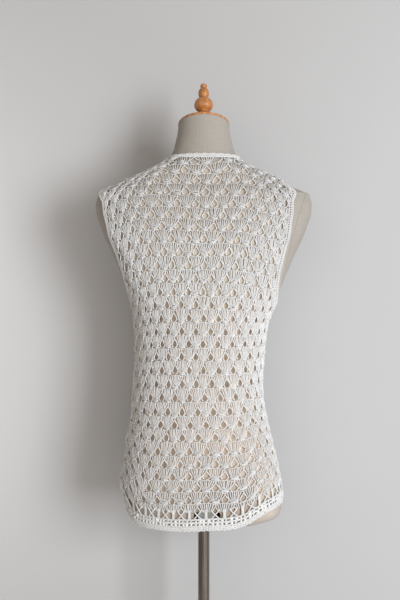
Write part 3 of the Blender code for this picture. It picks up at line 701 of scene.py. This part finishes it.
HOLE_RING = (
    # the right half of the loop round a drop-shaped hole, from its foot, in fans and rows
    (0.0, -0.235), (0.12, -0.17), (0.20, -0.02), (0.175, 0.15), (0.09, 0.32), (0.015, 0.46),
)
STITCHES = (
    # foot across, foot up, middle across, head across, head up
    (-0.18, -0.02, -0.265, -0.355, 0.66), (-0.115, 0.05, -0.170, -0.235, 0.71),
    (-0.055, 0.08, -0.084, -0.115, 0.74), (0.0, 0.09, 0.003, 0.008, 0.745),
    (0.060, 0.08, 0.091, 0.130, 0.74), (0.120, 0.05, 0.180, 0.252, 0.71),
    (0.19, -0.02, 0.280, 0.380, 0.66),
)
BOWLS = (
    # reach, lowest and highest, of the nested loops that gather the stitches at the foot
    (0.26, -0.17, 0.07), (0.18, -0.08, 0.13), (0.09, 0.03, 0.19),
)
FAN_CHAINS = (
    # places in fans and rows, lift and radius in millimetres
    (((0.5, 0.44), (0.5, 0.58), (0.5, 0.72)), 1.5, 1.35),                 # over the hole
    (((-0.47, 0.61), (-0.29, 0.72), (0.0, 0.77), (0.29, 0.72), (0.47, 0.61)), 0.7, 0.95),   # the head
    (((-0.22, -0.18), (0.0, -0.27), (0.22, -0.18)), 0.9, 1.15),           # ends of the chains
    (((0.0, -0.06), (0.0, -0.34)), 1.2, 1.6),                             # the stem
)
FOOT_WANDER = (0.015, 0.012)   # how unevenly the hand sets the fans, in fans and rows
STITCH_SWAY = 0.010
STITCH_WANDER = 0.011
LIFT_WANDER = 0.22             # in millimetres
KNOT_SWELL = 0.16              # of a strand's radius, from knot to knot
YARN_WANDER = 0.06


def fan_strands(random):
    """The strands of every fan of a panel, by kind, with the hand's small unevenness."""
    feet = [(fan + row % 2 / 2, row) for row in range(34) for fan in range(-8, 9)]
    feet = np.array(feet, dtype=float)
    feet = feet + random.normal(0, FOOT_WANDER, feet.shape)
    half_ring = np.array(HOLE_RING)
    ring = np.concatenate([half_ring, half_ring[::-1] * (-1, 1)])[:-1] + (0.5, 0)
    shapes = [(ring, 1.5, 1.20), *FAN_CHAINS]
    for reach, low, high in BOWLS:
        turn = np.linspace(-math.pi / 2, math.pi / 2, 4)
        bowl = np.stack([reach * np.sin(turn), high - (high - low) * np.cos(turn) ** 0.8], axis=1)
        shapes.append((bowl, 2.3, 1.12))
    for foot_across, foot_up, middle_across, head_across, head_up in STITCHES:
        stitch = ((foot_across, foot_up), (middle_across, 0.24), (head_across, head_up))
        shapes.append((stitch, 1.3, 1.10))
    kinds = []
    for shape, lift, radius in shapes:
        shape = np.array(shape)
        strands = np.zeros((len(feet), len(shape), 4))
        sway = random.normal(0, STITCH_SWAY, (len(feet), 1)) * np.linspace(0, 1, len(shape))
        uneven = random.normal(0, STITCH_WANDER, (len(feet), len(shape), 2))
        strands[..., 0] = feet[:, :1] + shape[:, 0] + sway + uneven[..., 0]
        strands[..., 1] = feet[:, 1:] + shape[:, 1] + uneven[..., 1]
        strands[..., 2] = (lift + random.normal(0, LIFT_WANDER, (len(feet), 1))) / 1000
        knots = 1 + KNOT_SWELL * (-1.0) ** np.arange(len(shape))
        strands[..., 3] = radius / 1000 * knots * (1 + random.normal(0, YARN_WANDER, (len(feet), 1)))
        kinds.append(strands)
    return kinds


for face, flat, area in (("back", (0.48, 0.70), 0.275), ("front", (0.50, 0.68), 0.27)):
    random = np.random.default_rng(11 if face == "back" else 12)
    tubes = []
    for strands in fan_strands(random):
        strands = trim_to_panel(face, strands)
        angle, height, _ = lace_places(face, strands[..., 0], strands[..., 1])
        centres, normals = top_points(angle, height, strands[..., 2])
        thinned = (NARROWEST_FAN / fan_width(height)[0]) ** STRETCH_THINNING
        tubes.append(strand_tubes(centres, normals, strands[..., 3] * thinned))
    panel = make_yarn(f"lace_{face}", tubes)
    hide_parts(f"top_{face}")

# The hem border. It is worked with doubled yarn: three chains along the edge, the
# lowest of them scalloped, two rows of short stitches, each under a chain, and on
# top a net of crossed strands between posts, each of which stands under a fan.
HEM_CHAINS = (
    # rise above the edge, thickness, loops to a fan, lift, depth of the scallops
    (0.0026, 0.0018, 6.5, 0.0016, 0.0016), (0.0056, 0.0019, 6.5, 0.0022, 0.0004),
    (0.0088, 0.0019, 6.0, 0.0020, 0.0), (0.0153, 0.0021, 6.0, 0.0020, 0.0),
    (0.0212, 0.0018, 6.0, 0.0020, 0.0),
)
HEM_SCALLOPS = 3.5         # to a fan
HEM_STITCHES = ((0.0094, 0.0146), (0.0160, 0.0208))    # from and to, above the edge
HEM_POSTS = (0.0216, 0.0300, 0.0395)                   # what a post goes through, above the edge
HEM_NET = (0.0216, 0.0256, 0.0294, 0.0336, 0.0395)     # the same for a crossed strand
HEM_ROW = -0.4             # the border's place below the first row of fans


def hem_strands(face, across, rise, lift, radius):
    """Tubes of the border along places (fans across, rise above the edge)."""
    across, rise = np.broadcast_arrays(np.asarray(across, float), np.asarray(rise, float))
    limit = FANS_ON_A_PANEL / 2 - 0.01
    angle, _, _ = lace_places(face, np.clip(across, -limit, limit), np.full(across.shape, HEM_ROW))
    centres, normals = top_points(angle, hem_height(angle) + rise, lift)
    return strand_tubes(centres, normals, np.broadcast_to(radius, across.shape))


for face in ("back", "front"):
    random = np.random.default_rng(21 if face == "back" else 22)
    tubes = []
    half = FANS_ON_A_PANEL / 2
    along = np.linspace(-half, half, FANS_ON_A_PANEL * 24 + 1)
    for rise, thickness, loops, lift, scallop in HEM_CHAINS:
        for way in (-1, 1):
            beside = rise + 0.0010 * way * np.sin(math.pi * loops * along)
            bulge = scallop * np.abs(np.sin(math.pi * HEM_SCALLOPS * along))
            beside = beside - bulge * random.normal(1, 0.25, along.shape)
            raised = lift + 0.0005 * way * np.cos(math.pi * loops * along)
            radius = thickness * 0.62 * random.normal(1, 0.08, along.shape)
            tubes.append(hem_strands(face, along[None], beside[None], raised[None], radius[None]))
    stitches = np.arange(-half, half, 1 / 4) + 1 / 8
    for rise in HEM_STITCHES:
        across = stitches[:, None] + np.array((-0.02, 0.02)) + random.normal(0, 0.02, (len(stitches), 1))
        radius = random.normal(0.0023, 0.0006, (len(stitches), 1)) * np.ones(2)
        tubes.append(hem_strands(face, across, rise, 0.0014, radius))
    feet = np.arange(-int(half), int(half) + 1)
    for beside in (-0.05, 0.0, 0.05):
        across = feet[:, None] + np.array((beside, beside * 0.6, beside))
        tubes.append(hem_strands(face, across, HEM_POSTS, 0.0015, 0.0015))
    for foot, head in ((-0.25, 0.24), (0.25, -0.24)):
        crossings = np.concatenate([feet - 0.5, [feet[-1] + 0.5]])[:, None]
        across = crossings + np.array((foot, foot * 0.45, 0.0, head * 0.5, head))
        lift = 0.0020 if foot < 0 else 0.0029
        tubes.append(hem_strands(face, across, HEM_NET, lift, 0.0012))
    border = make_yarn(f"hem_border_{face}", tubes)
    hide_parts(f"top_hem_{face}")

# The armhole edgings. Three chains are worked round each armhole, the outer one
# of two strands that twist, with a dense row of short stitches between the others.
CORD_PLACES = (0.0006, 0.0022)    # how far into the cloth the two strands run
CORD_TWIST = 0.0100               # length of one full twist of the two
INNER_CHAINS = (
    # how far into the cloth, lift, radius
    (0.0040, 0.0015, 0.0011), (0.0082, 0.0013, 0.0010),
)
STITCH_PLACES = (0.0045, 0.0079)
STITCH_WIDTH = 0.0046


def armhole_places(side, grow, count):
    """Even places round an armhole's edge grown into the cloth: their angles and heights."""
    hole = ARMHOLES[side]
    low, high = hole["low"] - grow, hole["high"] + grow * SHOULDER_SLOPE
    stops = np.linspace(0, 2 * math.pi, 721)
    on_back = np.sin(stops) > 0
    power = np.where(np.cos(stops) < 0, ARMHOLE_ROUNDING["head"], ARMHOLE_ROUNDING["foot"])
    place = -np.sign(np.cos(stops)) * np.abs(np.cos(stops)) ** (2 / power)
    level = (low + high) / 2 + (high - low) / 2 * place
    foot = np.where(on_back, hole["back"][0], hole["front"][0])
    head = np.where(on_back, hole["back"][1], hole["front"][1])
    reach = np.radians(foot + (head - foot) * (place + 1) / 2) + grow / spread_at(level)
    reach = reach * np.abs(np.sin(stops)) ** (2 / power) * np.where(on_back, -1, 1)
    angle = reach if side == "right" else math.pi - reach
    drops = [neck_drop(face, level, angle) for face in ("back", "front")]
    height = level - np.where(on_back, *drops)
    far = distances(top_points(angle, height)[0])
    even = np.linspace(0, far[-1], count, endpoint=False)
    return np.interp(even, far, angle), np.interp(even, far, height), far[-1]


def edging_chain(places, lift, radius):
    """A chain that runs right round an opening."""
    centres, normals = top_points(places[0], places[1], lift)
    radii = np.broadcast_to(radius, (1, len(centres)))
    return strand_tubes(centres[None], normals[None], radii, closed=True)


def edging_posts(inner, outer, lift, radius):
    """Short stitches between two rounds of places."""
    first, normal = top_points(inner[0], inner[1], lift)
    second, _ = top_points(outer[0], outer[1], lift)
    centres = np.stack([first, (first + second) / 2, second], axis=1)
    normals = np.repeat(normal[:, None], 3, axis=1)
    return strand_tubes(centres, normals, np.full(centres.shape[:2], radius))


for side in ("right", "left"):
    length = armhole_places(side, 0.001, 4)[2]
    loops = 2 * round(length / CORD_TWIST)
    count = loops * 6
    twist = math.pi * loops * np.arange(count) / count
    tubes = []
    first, second = [armhole_places(side, grow, count) for grow in CORD_PLACES]
    for way in (-1, 1):
        part = 0.5 + 0.5 * way * np.sin(twist)
        places = [first[i] + (second[i] - first[i]) * part for i in (0, 1)]
        tubes.append(edging_chain(places, 0.0014 + 0.0004 * way * np.cos(twist), 0.0009))
    for grow, lift, radius in INNER_CHAINS:
        swell = 0.78 + 0.34 * np.sin(twist) ** 2
        tubes.append(edging_chain(armhole_places(side, grow, count), lift, radius * swell))
    stitches = int(length / STITCH_WIDTH)
    ladder = [armhole_places(side, grow, stitches) for grow in STITCH_PLACES]
    tubes.append(edging_posts(ladder[0], ladder[1], 0.0014, 0.0011))
    edging = make_yarn(f"armhole_edging_{side}", tubes)
    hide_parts(f"top_armhole_{side}")

# The neckband. A chain runs along the neckline, and small shells of short
# stitches stand on it, so that the upper edge is gently scalloped.
SHELL_LENGTH = 0.0165


def neck_places(rise, count):
    """Even places round the neck, above the neckline by a distance along the cloth."""
    stops = np.linspace(-math.pi, math.pi, 721)
    drop = np.where(stops > 0, NECK_DROP["front"], NECK_DROP["back"]) * np.abs(np.sin(stops)) ** 5
    line = NECKLINE_HEIGHT - drop
    points, _ = top_points(stops, line)
    above, _ = top_points(stops, line + 0.001)
    climb = np.linalg.norm(above - points, axis=-1) / 0.001
    far = distances(points)
    even = np.linspace(0, far[-1], count, endpoint=False)
    height = np.interp(even, far, line) + np.broadcast_to(rise, (count,)) / np.interp(even, far, climb)
    return np.interp(even, far, stops), height, far[-1]


length = neck_places(0.0, 4)[2]
shells = round(length / SHELL_LENGTH)
count = shells * 14
swell = np.sin(math.pi * 3 * shells * np.arange(count) / count) ** 2
scallop = np.abs(np.sin(math.pi * shells * np.arange(count) / count)) ** 0.7
upper = 0.75 + 0.35 * swell
stitches = shells * 6
tubes = [
    # the chain on the neckline, the two over the shells, and the shells' stitches
    edging_chain(neck_places(0.0004, count), 0.0015, 0.0012 * (0.85 + 0.2 * swell)),
    edging_chain(neck_places(0.0046 + 0.0010 * scallop, count), 0.0017, 0.0013 * upper),
    edging_chain(neck_places(0.0062 + 0.0016 * scallop, count), 0.0019, 0.0011 * upper),
    edging_posts(neck_places(0.0006, stitches), neck_places(0.0043, stitches), 0.0016, 0.00135),
]
neckband = make_yarn("neckband_shells", tubes)
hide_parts("top_neckband")

# The room. The stand is on a pale floor in front of a pale wall, in the soft
# light of a large window to the right, and the wall throws a little of it back.
WALL_DISTANCE = 0.19
FLOOR_CORNERS = ((-4.0, -6.0), (4.0, -6.0), (4.0, 4.0), (-4.0, 4.0))
WALL_CORNERS = ((-4.0, 0.0), (4.0, 0.0), (4.0, 3.2), (-4.0, 3.2))
FLOOR_COLOURS = ((0.56, 0.55, 0.54), (0.60, 0.59, 0.58))
WALL_COLOURS = ((0.475, 0.475, 0.477), (0.49, 0.49, 0.492))
DAYLIGHT = (1.0, 0.91, 0.82)
DAYLIGHT_STRENGTH = 0.25


def stage_plane(name, points, colours, see_through_back):
    """A flat part of the room, plain and matt."""
    mesh = bpy.data.meshes.new(name)
    mesh.from_pydata(points, [], [(0, 1, 2, 3)])
    material, shader, place = new_finish(name, {"Roughness": 0.95})
    clouds = place.noise((1, 1, 1), 1.5).within(0.3, 0.7)
    feed(shader, {"Base Color": clouds.blend(*colours)})
    if see_through_back:
        clear = place.node("ShaderNodeBsdfTransparent")
        turned_away = place.node("ShaderNodeNewGeometry", {}, {}, "Backfacing")
        surface = Shade(place.tree, shader.outputs[0])
        mixed = place.node("ShaderNodeMixShader", {}, {0: turned_away, 1: surface, 2: clear})
        output = place.tree.nodes["Material Output"]
        place.tree.links.new(mixed.socket, output.inputs["Surface"])
    mesh.materials.append(material)
    plane = bpy.data.objects.new(name, mesh)
    bpy.context.scene.collection.objects.link(plane)


stage_plane("floor", [(x, y, 0) for x, y in FLOOR_CORNERS], FLOOR_COLOURS, False)
stage_plane("wall", [(x, WALL_DISTANCE, z) for x, z in WALL_CORNERS], WALL_COLOURS, True)

for name, place, aim, size, power, spread, colour in (
    # place, what it faces, size, power in watts, spread in degrees, colour
    ("window", (1.65, -2.45, 1.25), (0.0, 0.1, 1.15), (1.1, 1.4), 86, 180, (0.925, 0.96, 1.0)),
    ("room", (-0.3, -3.2, 1.5), (0.0, 0.2, 1.15), (2.8, 2.2), 25, 180, (1.0, 0.89, 0.78)),
    ("far_wall", (-1.5, -1.2, 1.15), (-0.9, 0.19, 1.15), (0.5, 1.2), 2.5, 44, (0.98, 0.98, 1.0)),
):
    lamp = bpy.data.lights.new(name, "AREA")
    lamp.shape = "RECTANGLE"
    lamp.size, lamp.size_y = size
    lamp.energy = power
    lamp.color = colour
    lamp.spread = math.radians(spread)
    light = bpy.data.objects.new(name, lamp)
    bpy.context.scene.collection.objects.link(light)
    light.location = place
    light.rotation_euler = (Vector(aim) - Vector(place)).to_track_quat("-Z", "Y").to_euler()

world = bpy.data.worlds.new("room_light")
bpy.context.scene.world = world
world.use_nodes = True
background = world.node_tree.nodes["Background"]
background.inputs["Color"].default_value = (*DAYLIGHT, 1)
background.inputs["Strength"].default_value = DAYLIGHT_STRENGTH
bpy.context.scene.view_settings.view_transform = "Standard"

camera = bpy.data.objects.new("camera", bpy.data.cameras.new("camera"))
bpy.context.scene.collection.objects.link(camera)
camera.location = (-0.0075, -1.5, 1.189)
camera.rotation_euler = (math.radians(90), 0, 0)
camera.data.sensor_width = 36
camera.data.lens = 45
bpy.context.scene.camera = camera
